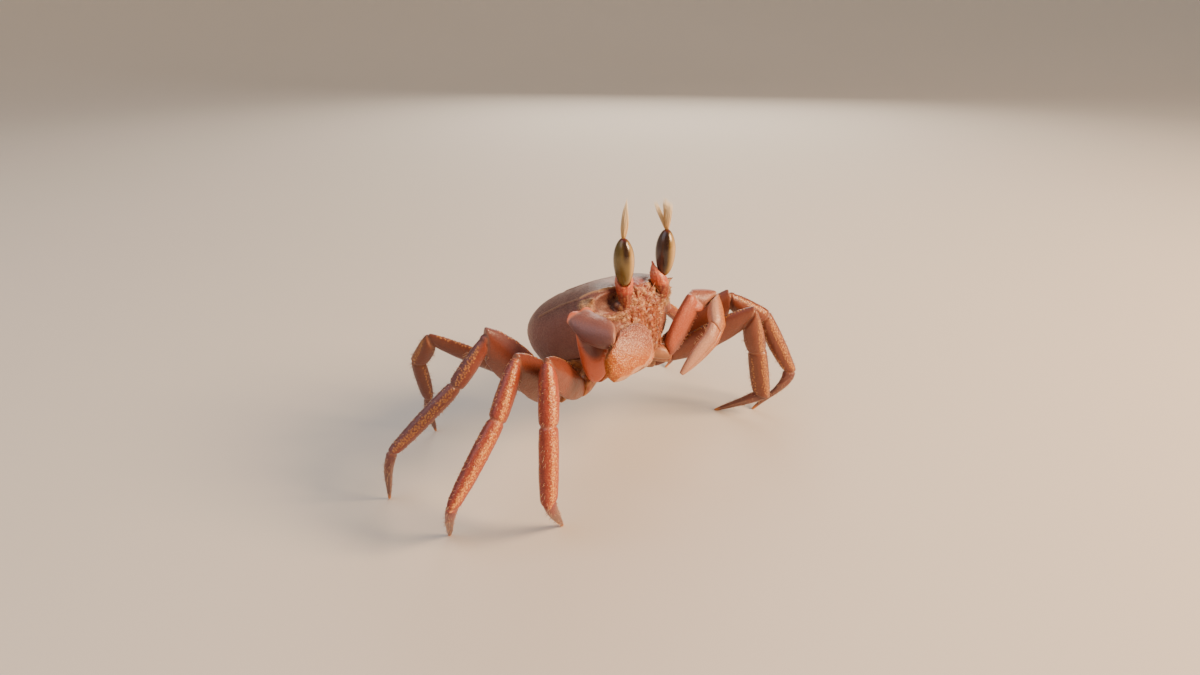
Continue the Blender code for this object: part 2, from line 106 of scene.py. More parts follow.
def bake(piece):
    bpy.context.view_layer.update()
    graph = bpy.context.evaluated_depsgraph_get()
    mesh = bpy.data.meshes.new_from_object(piece.evaluated_get(graph))
    piece.modifiers.clear()
    old = piece.data
    piece.data = mesh
    bpy.data.meshes.remove(old)
    mesh.name = piece.name
    mesh.shade_smooth()
    return piece


def dropCrumbs(piece, few=100):
    # the remesh can leave a crumb of a few points where two shells nearly touch
    cage = bmesh.new()
    cage.from_mesh(piece.data)
    left = set(cage.verts)
    crumbs = []
    while left:
        part = [left.pop()]
        for vert in part:
            for edge in vert.link_edges:
                other = edge.other_vert(vert)
                if other in left:
                    left.remove(other)
                    part.append(other)
        if len(part) < few:
            crumbs += part
    if crumbs:
        bmesh.ops.delete(cage, geom=crumbs, context="VERTS")
        cage.to_mesh(piece.data)
    cage.free()
    return piece


def skin(piece, voxel, smoothing, levels=0):
    # one closed skin over all the shells in the piece
    if levels:
        subdivision = piece.modifiers.new("subdivision", "SUBSURF")
        subdivision.levels = subdivision.render_levels = levels
    remesh = piece.modifiers.new("skin", "REMESH")
    remesh.mode = "VOXEL"
    remesh.voxel_size = voxel * mm
    remesh.use_smooth_shade = True
    smooth = piece.modifiers.new("smooth", "SMOOTH")
    smooth.factor = 0.5
    smooth.iterations = smoothing
    return dropCrumbs(bake(piece))


def tableOf(items, key):
    table = np.empty(len(items) * 3)
    items.foreach_get(key, table)
    return table.reshape(-1, 3)


def skinOf(piece):
    return tableOf(piece.data.vertices, "co"), tableOf(piece.data.vertex_normals, "vector")


def setPoints(piece, points):
    piece.data.vertices.foreach_set("co", np.ascontiguousarray(points).ravel())
    piece.data.update()


def raiseSkin(piece, points, normals, lift):
    # moves the points out along their normals by the lift, in mm
    points += normals * (lift * mm)[:, None]
    setPoints(piece, points)


def unit(value):
    return np.clip(value, 0, 1)


def ramp(value, start, width):
    # 0 up to the start, and 1 from a width further on, which may be backwards
    return unit((value - start) / width)


def bell(value, width):
    return np.exp(-(value / width) ** 2)


def setMasks(piece, **masks):
    # a mask is a number for every point, or one number for all
    count = len(piece.data.vertices)
    for name, values in masks.items():
        mask = piece.data.attributes.new(name, "FLOAT", "POINT")
        mask.data.foreach_set("value", unit(np.broadcast_to(values, count)).astype(np.float32))


def fieldAt(points, centres, radius):
    # 1 at the nearest centre, falling to 0 at its radius
    if not len(centres):
        return np.zeros(len(points))
    tree = kdtree.KDTree(len(centres))
    for i, centre in enumerate(centres):
        tree.insert(centre, i)
    tree.balance()
    distance = np.array([tree.find(point)[2] for point in points])
    return unit(1 - (distance / radius) ** 2)


def grains(points, spacing):
    # domes with random places, spacing apart
    near = np.array([noise.voronoi(Vector(point / spacing))[0][0] for point in points])
    return unit(1 - (near / 0.62) ** 2)


def softNoise(points, size):
    return np.array([noise.noise(Vector(point / size)) for point in points])


def relax(piece, points, share, times):
    # evens out the points where the share is above 0
    ends = np.empty(len(piece.data.edges) * 2, int)
    piece.data.edges.foreach_get("vertices", ends)
    a, b = ends.reshape(-1, 2).T
    total = len(points)
    count = np.maximum(np.bincount(a, minlength=total) + np.bincount(b, minlength=total), 1)
    for _ in range(times):
        middle = np.stack([np.bincount(a, points[b, i], total) + np.bincount(b, points[a, i], total)
                           for i in range(3)], 1) / count[:, None]
        points += (middle - points) * share[:, None]
    return points


def surfaceOf(piece):
    cage = bmesh.new()
    cage.from_mesh(piece.data)
    tree = BVHTree.FromBMesh(cage)
    cage.free()
    return tree


def along(path, step):
    # points a step apart along a bent line
    path = [Vector(point) for point in path]
    found = []
    for a, b in zip(path, path[1:]):
        count = max(1, round((b - a).length / step))
        found += [a.lerp(b, i / count) for i in range(count)]
    return found + [path[-1]]


def addPiece(piece, material, slot, *nodes):
    piece.data.materials.clear()
    piece.data.materials.append(material)
    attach(piece, "root")
    if nodes:
        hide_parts(*nodes)


# materials

def linear(code):
    parts = [int(code[i:i + 2], 16) / 255 for i in (0, 2, 4)]
    return (*[c / 12.92 if c <= 0.04045 else ((c + 0.055) / 1.055) ** 2.4 for c in parts], 1)


def add(tree, kind, settings=None, links=None):
    node = tree.nodes.new("ShaderNode" + kind)
    for key, value in (settings or {}).items():
        if isinstance(key, str) and hasattr(node, key):
            setattr(node, key, value)
        else:
            node.inputs[key].default_value = value
    for key, socket in (links or {}).items():
        tree.links.new(socket, node.inputs[key])
    return node


def newMaterial(name, **sockets):
    material = bpy.data.materials.new(name)
    material.use_nodes = True
    tree = material.node_tree
    shader = tree.nodes["Principled BSDF"]
    for key, value in sockets.items():
        shader.inputs[key.replace("_", " ")].default_value = value
    return material, tree, shader


def layer(tree, below, colour, amount):
    # the colour over what is below, a colour too or a socket, where the amount is 1
    settings, links = {"data_type": "RGBA", 7: linear(colour)}, {0: amount}
    if isinstance(below, str):
        settings[6] = linear(below)
    else:
        links[6] = below
    return add(tree, "Mix", settings, links).outputs[2]


def maskOf(tree, name, share=1.0):
    attribute = add(tree, "Attribute", {"attribute_name": name})
    return add(tree, "Math", {"operation": "MULTIPLY", 1: share},
               {0: attribute.outputs["Fac"]}).outputs[0]


def between(tree, value, low, high, top=1.0):
    return add(tree, "MapRange", {1: low, 2: high, 3: 0.0, 4: top}, {0: value}).outputs[0]


def cuticle(name, base, mottle, tip, gap, grain, relief, rough, layers, clear=0.1):
    # crab cuticle: chitin hardened with lime, satin, slightly clear, granular on its outer faces
    material, tree, shader = newMaterial(
        name, Roughness=rough, IOR=1.52, Subsurface_Weight=clear, Subsurface_Radius=(1.0, 0.38, 0.22),
        Subsurface_Scale=1.2 * mm)
    place = add(tree, "TexCoord").outputs["Object"]
    cloud = add(tree, "TexNoise", {"Scale": 1 / (5.0 * mm), "Detail": 4.0, "Roughness": 0.6},
                {"Vector": place})
    speck = add(tree, "TexNoise", {"Scale": 1 / (0.7 * mm), "Detail": 3.0, "Roughness": 0.65},
                {"Vector": place})
    granule = add(tree, "TexVoronoi", {"Scale": 1 / (grain * mm), "Randomness": 0.85},
                  {"Vector": place})
    near = granule.outputs["Distance"]
    colour = layer(tree, base, mottle, between(tree, cloud.outputs["Fac"], 0.4, 0.62))
    colour = layer(tree, colour, gap, between(tree, near, 0.38, 0.75, 0.55))
    colour = layer(tree, colour, tip, between(tree, near, 0.3, 0.05, 0.45))
    colour = layer(tree, colour, gap, between(tree, speck.outputs["Fac"], 0.52, 0.7, 0.35))
    for mask, shade, share in layers:
        amount = maskOf(tree, mask, share)
        if "beads" in mask:  # only the tops of the granules
            amount = add(tree, "Math", {"operation": "MULTIPLY"},
                         {0: amount, 1: between(tree, near, 0.5, 0.22)}).outputs[0]
        colour = layer(tree, colour, shade, amount)
    tree.links.new(colour, shader.inputs["Base Color"])
    height = add(tree, "Math", {"operation": "MULTIPLY", 1: -1.0}, {0: near}).outputs[0]
    grit = add(tree, "Bump", {"Strength": 0.25, "Distance": 0.1 * mm},
               {"Height": speck.outputs["Fac"]})
    bump = add(tree, "Bump", {"Strength": 0.8, "Distance": relief * mm},
               {"Height": height, "Normal": grit.outputs["Normal"]})
    tree.links.new(bump.outputs["Normal"], shader.inputs["Normal"])
    return material


goldEdge = ("gold", "D9A066", 0.85)
# the four colours: ground, mottling, tops of the granules, gaps between them; then mm: spacing and relief
shellCuticle = cuticle(
    "granular_shell_cuticle", "7A5048", "8E6358", "AE8470", "4A2C27", 0.36, 0.06, 0.42,
    [("side", "88544B", 0.6), ("warm", "86301F", 0.9), ("deep", "45302B", 0.9), ("gold", "DDAE78", 0.9),
     ("beads", "F2CC98", 0.9)])
clawCuticle = cuticle(
    "granular_claw_cuticle", "9A5A48", "A66551", "C79278", "77402F", 0.34, 0.07, 0.36,
    [("low", "AC581A", 0.95), ("violet", "74504F", 0.9), ("warm", "D2643E", 0.9),
     ("pale", "DDAF92", 0.85), ("beads", "DDAF94", 0.8), ("gold_beads", "E29E48", 0.7)], clear=0.08)
# on the legs the warm layer is painted light: the side facing the key lamp is painted warmer
legCuticle = cuticle(
    "smooth_leg_cuticle", "963A2C", "A24632", "BA6A50", "6E281E", 0.36, 0.05, 0.33,
    [("warm", "C2582E", 0.6), ("brown", "5E3A24", 0.9), ("violet", "6B4A50", 0.85),
     ("deep", "76544B", 0.95), ("pale", "D0A184", 0.7), ("gold", "E0994C", 0.9),
     ("beads", "F0B76C", 0.95)])
bellyCuticle = cuticle(
    "underside_cuticle", "8E5030", "9C5E3A", "C08A5A", "6A3620", 0.6, 0.05, 0.4,
    [("warm", "96391F", 0.7), ("deep", "4E2A1E", 0.8), ("pale", "D3A57C", 0.7), goldEdge])
stalkCuticle = cuticle(
    "eyestalk_cuticle", "B5432A", "C65C38", "E39A74", "8A2C1E", 0.4, 0.06, 0.34,
    [("warm", "D27A62", 0.7), ("deep", "6A241A", 0.85), goldEdge], clear=0.15)


def hairMaterial(name, root, tip):
    # chitin bristles, glossy and paler to the tip
    material, tree, shader = newMaterial(name, Roughness=0.5, IOR=1.5)
    colour = layer(tree, root, tip, maskOf(tree, "rise"))
    tree.links.new(colour, shader.inputs["Base Color"])
    return material


goldHair = hairMaterial("golden_bristles", "B06C50", "F8DCB0")
strawHair = hairMaterial("straw_eye_brush", "E0B470", "FFF0CE")
redHair = hairMaterial("rosy_mouth_bristles", "8E3522", "EBA77C")


# bristles: slim bent cones in one mesh, each on a patch of the OFBake map at its root's place

def bristles(name, roots, material, slot, width, bends=4):
    cone = bmesh.new()
    bmesh.ops.create_cone(cone, cap_ends=True, segments=3, radius1=1, radius2=0.12, depth=1,
                          matrix=Matrix.Translation((0, 0, 0.5)))
    sides = [e for e in cone.edges if abs(e.verts[0].co.z - e.verts[1].co.z) > 0.5]
    bmesh.ops.subdivide_edges(cone, edges=sides, cuts=bends - 1)
    bmesh.ops.triangulate(cone, faces=cone.faces)
    cone.verts.index_update()
    template = np.array([v.co for v in cone.verts])
    faces = np.array([[v.index for v in f.verts] for f in cone.faces])
    cone.free()
    count = len(roots)
    foot, out, lean, length, spot = (np.array(column, float) for column in zip(*roots))
    out /= np.linalg.norm(out, axis=1)[:, None]
    length = length[:, None, None]
    side = np.cross(out, np.where(np.abs(out[:, 2:3]) < 0.9, [[0, 0, 1]], [[1, 0, 0]]))
    side /= np.linalg.norm(side, axis=1)[:, None]
    other = np.cross(out, side)
    x, y, z = template.T
    rise = z[None, :, None]
    thick = width * mm / 2
    points = (foot[:, None, :] + out[:, None, :] * rise * length + lean[:, None, :] * rise ** 2 * length
              + (side[:, None, :] * x[None, :, None] + other[:, None, :] * y[None, :, None]) * thick)
    points[..., 2] = np.maximum(points[..., 2], 0)  # none goes through the floor
    allFaces = (faces[None] + (np.arange(count) * len(template))[:, None, None]).reshape(-1, 3)
    mesh = bpy.data.meshes.new(name)
    mesh.from_pydata(points.reshape(-1, 3).tolist(), [], allFaces.tolist())
    mesh.shade_smooth()
    unwrap = mesh.uv_layers.new(name="OFBake")
    patch = np.stack([0.5 + x * 0.4, z], 1) * 0.003
    corner = (spot[:, None, None, :] * 0.99 + patch[faces][None]).reshape(-1, 2)
    unwrap.data.foreach_set("uv", corner.astype(np.float32).ravel())
    piece = newObject(name, mesh)
    setMasks(piece, rise=np.tile(z, count))
    print(name, count, "bristles", len(allFaces), "triangles")
    addPiece(piece, material, slot)


def scatterRoots(piece, mask, count, length, lay, spread, spot):
    # roots at random points, as thick as the mask says; the lay is the way they lean, or gives it
    points, normals = skinOf(piece)
    choice = [i for i in rng.sample(range(len(points)), len(points)) if rng.random() < mask[i]][:count]
    roots = []
    for i in choice:
        direction = Vector(normals[i]) + Vector([rng.uniform(-spread, spread) for _ in range(3)])
        sweep = Vector(lay(points[i]) if callable(lay) else lay) * rng.uniform(0.3, 0.8)
        size = length * mm * rng.uniform(0.6, 1.2)
        roots.append((points[i] - normals[i] * 0.05 * mm, direction, sweep, size, spot(points[i])))
    return roots


def bodySpot(point):
    # the body's shape unrolled: round it one way, down it the other
    x, y, z = toBody(np.array(point)[None])[0]
    return (0.5 + math.atan2(x, -y) / (2 * math.pi) * 0.98, min(max((z + 0.75) / 1.5, 0), 1))


# legs

legForm = {
    "names": ("merus", "carpus", "propodus", "dactylus"),
    "fill": 1.05,  # the cages shrink a little as they are rounded
    "rim": 0.45,  # mm, round edge at each joint
    "edge": (0.45, 0.25, 0.2, 0.1),  # how thin each length gets at its edges
    "knob": 0.9,  # skin of a joint against the shell's end
    "crease": 0.3,  # mm, half width of the crease at a joint
    "skin": (0.19, 3, 2),  # voxel in mm, smoothing and subdivision steps
    "tooth": (0.5, 0.22, 0.14),  # mm: spacing, radius and height of the granules on the edges
    "granuleHighlightBand": (52, 23),  # degrees from the upper edge to the middle of the band of granules with a painted highlight on the lit front face, and its width
    "edgeHairs": (130, 0.9), "toeHairs": (70, 0.55), "hairWidth": 0.12,  # how many, and mm
}


def roundCaps(cage, axis, rim):
    # each flat end becomes one face with a round edge
    seen, caps = set(), []
    for seed in cage.faces:
        if seed in seen or abs(seed.normal.dot(axis)) < 0.3:
            continue
        group = [seed]
        seen.add(seed)
        for face in group:
            for other in {f for e in face.edges for f in e.link_faces} - seen:
                if other.normal.dot(seed.normal) > 0.9999:
                    seen.add(other)
                    group.append(other)
        if len(group) > 5:
            caps.append(group)
    edges = []
    for group in caps:
        for face in bmesh.ops.dissolve_faces(cage, faces=group)["region"]:
            edges += face.edges
    bmesh.ops.bevel(cage, geom=list(set(edges)), offset=rim * mm, offset_type="OFFSET", segments=2,
                    profile=0.5, affect="EDGES", material=-1, clamp_overlap=True)
    bmesh.ops.join_triangles(cage, faces=cage.faces, angle_face_threshold=0.8, angle_shape_threshold=1.2)


def limbFrame(name, before):
    # where one length of a limb runs, and its height and thickness at both ends
    points = cadPoints(name)
    middle = points.mean(0)
    spread = np.linalg.eigh(np.cov((points - middle).T))[1]
    axis, up = Vector(spread[:, 2]), Vector(spread[:, 1])
    if (Vector(middle) - before).dot(axis) < 0:
        axis = -axis
    if up.z < 0:
        up = -up
    side = axis.cross(up)
    order = np.argsort((points - middle) @ np.array(axis))
    ends = []
    for ring in (points[order[:10]], points[order[-10:]]):
        centre = Vector(ring.mean(0))
        away = ring - ring.mean(0)
        ends.append((centre, np.abs(away @ np.array(up)).max(), np.abs(away @ np.array(side)).max()))
    return {"name": name, "axis": axis, "up": up, "side": side, "ends": ends, "start": ends[0][0],
            "length": (ends[1][0] - ends[0][0]).length}


def limbFrames(names, before):
    frames = []
    for name in names:
        frames.append(limbFrame(name, before))
        before = frames[-1]["ends"][1][0]
    return frames


def jointOf(a, b):
    return (a["ends"][1][0] + b["ends"][0][0]) / 2


def limbCage(limbs, edges, fill, rim, knob, twist=None):
    # twist turns the last length and swells it: an axis, degrees and a factor
    whole = bmesh.new()
    for limb, edge in zip(limbs, edges):
        cage = cadCage(limb["name"])
        roundCaps(cage, limb["axis"], rim)
        if twist and limb is limbs[-1]:
            middle = (limb["ends"][0][0] + limb["ends"][1][0]) / 2
            bmesh.ops.rotate(cage, verts=cage.verts, cent=middle,
                             matrix=Matrix.Rotation(math.radians(twist[1]), 3, twist[0]))
            grow = (twist[2],) * 3
            bmesh.ops.scale(cage, verts=cage.verts, vec=grow, space=Matrix.Translation(-middle))
        height = max(end[1] for end in limb["ends"]) * 1.2
        for vert in cage.verts:
            away = vert.co - limb["start"]
            high, wide = away.dot(limb["up"]), away.dot(limb["side"])
            thin = edge * min(abs(high) / height, 1) ** 3
            vert.co += limb["up"] * high * (fill - 1) + limb["side"] * wide * (fill * (1 - thin) - 1)
        part = bpy.data.meshes.new("part")
        cage.to_mesh(part)
        cage.free()
        whole.from_mesh(part)
        bpy.data.meshes.remove(part)
    for a, b in zip(limbs, limbs[1:]):
        high, wide = (min(a["ends"][1][i], b["ends"][0][i]) * knob for i in (1, 2))
        turn = Matrix((b["axis"], b["side"], b["up"])).transposed().to_4x4()
        size = Matrix.Diagonal((high * 0.9, wide, high, 1))
        bmesh.ops.create_icosphere(whole, subdivisions=3, radius=1,
                                   matrix=Matrix.Translation(jointOf(a, b)) @ turn @ size)
    return whole


def limbPlaces(points, limbs):
    # for each point: which length, how far along it, and the angle round it from its upper edge
    best = np.full(len(points), 1e9)
    which, far, angle = np.zeros(len(points), int), np.zeros(len(points)), np.zeros(len(points))
    for i, limb in enumerate(limbs):
        axis, up, side = (np.array(limb[key]) for key in ("axis", "up", "side"))
        away = points - np.array(limb["start"])
        t = away @ axis / limb["length"]
        line = unit(t)[:, None] * axis * limb["length"]
        off = np.linalg.norm(away - line, axis=1)
        nearer = off < best
        best[nearer] = off[nearer]
        across = away - t[:, None] * axis * limb["length"]
        turn = np.arctan2(across @ side, across @ up)
        which[nearer], far[nearer], angle[nearer] = i, t[nearer], turn[nearer]
    return which, far, angle


def creaseAt(points, limbs, width):
    mask = np.zeros(len(points))
    for a, b in zip(limbs, limbs[1:]):
        joint = np.array(jointOf(a, b))
        normal = np.array((a["axis"] + b["axis"]).normalized())
        reach = a["ends"][1][1] * 1.7
        close = np.linalg.norm(points - joint, axis=1) < reach
        flat = bell((points - joint) @ normal, width * mm)
        mask = np.maximum(mask, flat * close)
    return mask


def edgeRows(limbs, rows, tree, spacing):
    # granules in rows along the edges: (length, angle from the upper edge, from, to)
    found = []
    for index, angle, start, end in rows:
        limb = limbs[index]
        count = max(2, int(limb["length"] * (end - start) / (spacing * mm)))
        for i in range(count):
            t = start + (end - start) * (i + rng.uniform(-0.4, 0.4)) / (count - 1)
            turn = math.radians(angle) + rng.gauss(0, 0.09)
            ray = limb["up"] * math.cos(turn) + limb["side"] * math.sin(turn)
            spot = limb["start"] + limb["axis"] * (t * limb["length"])
            hit = tree.ray_cast(spot, ray)
            if hit[0] is not None:
                found.append(hit[0])
    return found


# rows of granules: which length, angle from its upper edge to its front, from and to
legRows = [(0, 6, 0.15, 0.97), (0, -8, 0.4, 0.97),
           (1, 34, 0.08, 0.94), (1, 50, 0.12, 0.94), (1, 66, 0.2, 0.92), (1, -30, 0.2, 0.9),
           (2, 36, 0.04, 0.97), (2, 52, 0.04, 0.97), (2, 68, 0.08, 0.95), (2, 84, 0.15, 0.9),
           (2, -34, 0.1, 0.95), (2, 150, 0.1, 0.9)]
legTints = {  # how brown (partly painted shade on the legs that stand in shade), how violet and how granular each leg is; the granular share also sets the painted highlight on the band
    "right": ((0.0, 0.1, 1.0), (0.05, 0.25, 1.0), (0.45, 0.8, 0.12), (0.8, 0.1, 0.15)),
    "left": ((0.75, 0.2, 0.35), (0.7, 0.25, 0.45), (0.6, 0.2, 0.35), (0.7, 0.2, 0.2)),
}
hairRoots = []


def makeLeg(side, number, column):
    stem = f"leg_{side}_{number}"
    names = [f"{stem}_{part}" for part in legForm["names"]]
    limbs = limbFrames(names, bodyOrigin)
    cage = limbCage(limbs, *(legForm[key] for key in ("edge", "fill", "rim", "knob")))
    leg = skin(meshObject("walking_" + stem, cage), *legForm["skin"])
    points, normals = skinOf(leg)
    which, far, angle = limbPlaces(points, limbs)
    spacing, reach, height = legForm["tooth"]
    front = 1 if side == "left" else -1
    rows = [(index, front * turn, start, end) for index, turn, start, end in legRows]
    teeth = fieldAt(points, edgeRows(limbs, rows, surfaceOf(leg), spacing), reach * mm)
    crease = creaseAt(points, limbs, legForm["crease"])
    toe, above = (which == 3), (which < 3)
    flutes = toe * unit(far * 3) * unit((1 - far) * 3) * np.cos(angle * 6)
    ripple = softNoise(points, 2.5 * mm)
    pits = grains(points, 0.8 * mm) * above
    lift = teeth * height + ripple * 0.06 + flutes * 0.06 + pits * 0.03 - crease * 0.14
    points += normals * (lift * mm)[:, None]
    points[:, 2] = np.maximum(points[:, 2], 0)  # the toes stand on the floor
    setPoints(leg, points)
    # the brown share is the leg's brown tone, partly painted shade on the legs that stand in shade
    brown, violet, granular = legTints[side][number - 1]
    tip = toe * ramp(far, 0.05, 0.3)
    horn = toe * ramp(far, 0.86, 0.1)
    top = unit(np.cos(angle)) * above
    # painted light: lit is the side of the leg facing the key lamp, painted warmer through the warm mask
    lit = unit(np.sin(front * angle + 0.3)) * above
    # the band of gold beads on the lit front face of each shaft is real granules with a painted highlight
    # over them
    middle, wide = legForm["granuleHighlightBand"]
    granuleHighlightBand = bell(np.degrees(front * angle) - middle, wide) * unit(1.1 + ripple)
    shaft = (which == 1) | (which == 2)
    setMasks(leg, gold=np.maximum(teeth * 0.75 + granuleHighlightBand ** 4 * shaft * granular * 0.45, horn * 0.7),
             beads=granuleHighlightBand * shaft * granular + 0.5 * teeth * above,
             pale=crease * 0.3 + toe * unit(flutes) * 0.35, deep=tip * (1 - horn) * 0.95,
             brown=np.maximum(brown, 0.65 * (which == 0)) * (1 - tip),
             violet=violet * unit(0.35 + top) + 0.4 * toe * (1 - tip),
             warm=lit * np.where(which == 0, 0.25, 0.6))
    addPiece(leg, legCuticle, "leg", *names)

    def spot(point):
        index, t, turn = limbPlaces(np.array(point)[None], limbs)
        return ((column + 0.5 + turn[0] / 2 / math.pi * 0.9) / 8, (index[0] + min(max(t[0], 0), 1)) / 4)

    def lay(point):
        return limbs[limbPlaces(np.array(point)[None], limbs)[0][0]]["axis"]

    edges = unit(np.maximum(np.abs(np.cos(angle)) - 0.75, 0) * 4) * (which > 0) * (1 - crease)
    for mask, hairs in ((edges * 0.7, "edgeHairs"), (toe * (far < 0.85) * 0.8, "toeHairs")):
        hairRoots.extend(scatterRoots(leg, mask, *legForm[hairs], lay, 0.3, spot))


for column, (side, number) in enumerate([(s, n) for s in ("right", "left") for n in (1, 2, 3, 4)]):
    makeLeg(side, number, column)
bristles("leg_bristles", hairRoots, goldHair, "leg", legForm["hairWidth"])
print("legs made")


# body

bodyForm = {  # in shell widths
    "broad": 0.53, "front": 0.44, "back": 0.45,  # from the middle to each side
    "level": -0.12, "top": 0.145, "bottom": -0.5,  # heights: widest plane, top and bottom
    "narrowing": 0.16,  # of the face below
    "brow": 0.07, "lobe": (0.035, 0.07),  # height of the brow; reach and width of its middle lobe
    "edge": (-0.34, 0.1),  # the carapace's lower edge at mid length, and its rise to the back
    "socket": ((0.305, -0.46, -0.055), (0.215, 0.09, 0.08)),  # middle and radii
    # at each socket's outer corner: base, tip and base radius
    "teeth": (((0.415, -0.325, -0.01), (0.462, -0.43, 0.008), 0.036),
              ((0.425, -0.325, -0.065), (0.47, -0.388, -0.058), 0.026)),
    # lumps on each half of the face, from the eye's foot to the mouth: centre and radii
    "lumps": (((0.205, -0.425, -0.085), (0.06, 0.05, 0.04)),
              ((0.125, -0.435, -0.05), (0.04, 0.035, 0.05)),
              ((0.06, -0.45, -0.085), (0.042, 0.03, 0.03)),
              ((0.15, -0.435, -0.125), (0.055, 0.03, 0.025)),
              ((0.05, -0.455, -0.03), (0.03, 0.03, 0.04))),
    # grooves on each half of the top: middle, half sizes, and depth in mm
    "grooves": (((0.15, -0.02), (0.02, 0.16), 0.35), ((0.11, 0.2), (0.02, 0.08), 0.25)),
    "warts": 1.4, "granules": 0.6,  # mm, spacing
    "skin": (0.215, 4),  # voxel in mm, smoothing steps
}
# ridges on the right half: points in the body's frame, then height and width in mm
bodyRidges = {
    "margin": ([(-0.1, -0.44, 0.01), (-0.16, -0.42, 0.03), (-0.22, -0.405, 0.036),
                (-0.35, -0.385, 0.044), (-0.4, -0.345, 0.046), (-0.442, -0.3, 0.034)], 0.36, 0.34),
    "flank": ([(-0.452, -0.29, 0.03), (-0.458, -0.2, 0.027), (-0.461, -0.121, 0.027),
               (-0.475, -0.007, 0.013), (-0.48, 0.08, -0.005)], 0.26, 0.28),
    "cheek": ([(-0.47, -0.34, -0.085), (-0.39, -0.385, -0.135), (-0.3, -0.41, -0.155),
               (-0.2, -0.43, -0.15)], 0.4, 0.5),
    "corner": ([(-0.455, -0.315, -0.02), (-0.46, -0.34, -0.085)], 0.2, 0.4),
}


def bodySurface(directions):
    # a direction from the middle becomes a point on the body's form
    f = bodyForm
    turn = np.arctan2(directions[:, 1], directions[:, 0])
    slope = np.clip(directions[:, 2], -1, 1)
    level = f["level"] + np.where(slope > 0, f["top"] - f["level"], f["level"] - f["bottom"]) * slope
    rise = unit((level - f["level"]) / (f["top"] - f["level"]))
    drop = unit((f["level"] - level) / (f["level"] - f["bottom"] + 0.02))
    under = (1 - drop ** 2) ** (1 / 2.2)
    width = np.where(slope > 0, (1 - rise ** 2.2) ** (1 / 2.4), under)
    front = np.where(slope > 0, (1 - rise ** 4) ** (1 / 3), under)
    brow = bell(level, f["brow"])
    x, y = np.cos(turn), np.sin(turn)
    ahead = y < 0
    low = np.maximum(width, 1e-4)
    depth = np.where(ahead, f["front"] * np.maximum(front, 1e-4), f["back"] * low)
    power = np.where(ahead, 3 + 3 * brow, 2.5)  # squarest at the brow
    reach = (np.abs(x / (f["broad"] * low)) ** power + np.abs(y / depth) ** power) ** (-1 / power)
    x, y = x * reach, y * reach
    x *= np.where(ahead, 1 - f["narrowing"] * unit(-level / 0.2) * (y / f["front"]) ** 2, 1)
    y -= np.where(ahead, f["lobe"][0] * brow * bell(x, f["lobe"][1]), 0)
    return np.stack([x, y, level], 1)


def pushSockets(points):
    # the eye sockets are hollowed out of the front
    centre, radii = bodyForm["socket"]
    for sign in (-1, 1):
        middle = np.array([sign * centre[0], *centre[1:]])
        inside = (points - middle) / np.array(radii)
        depth = np.linalg.norm(inside, axis=1)
        hit = (depth < 1) & (inside[:, 1] > -0.9)
        points[hit] = middle + inside[hit] / np.maximum(depth[hit], 0.05)[:, None] * np.array(radii)
    return points


def ridgeLines(step, surface):
    # both sides' ridges, laid on the shell's surface
    lines = {}
    for name, (path, height, wide) in bodyRidges.items():
        both = [along([(sign * -x, y, z) for x, y, z in path], step) for sign in (-1, 1)]
        laid = [surface.find_nearest(onBody(*point))[0] for line in both for point in line]
        lines[name] = (toBody(np.array(laid)), height, wide)
    return lines


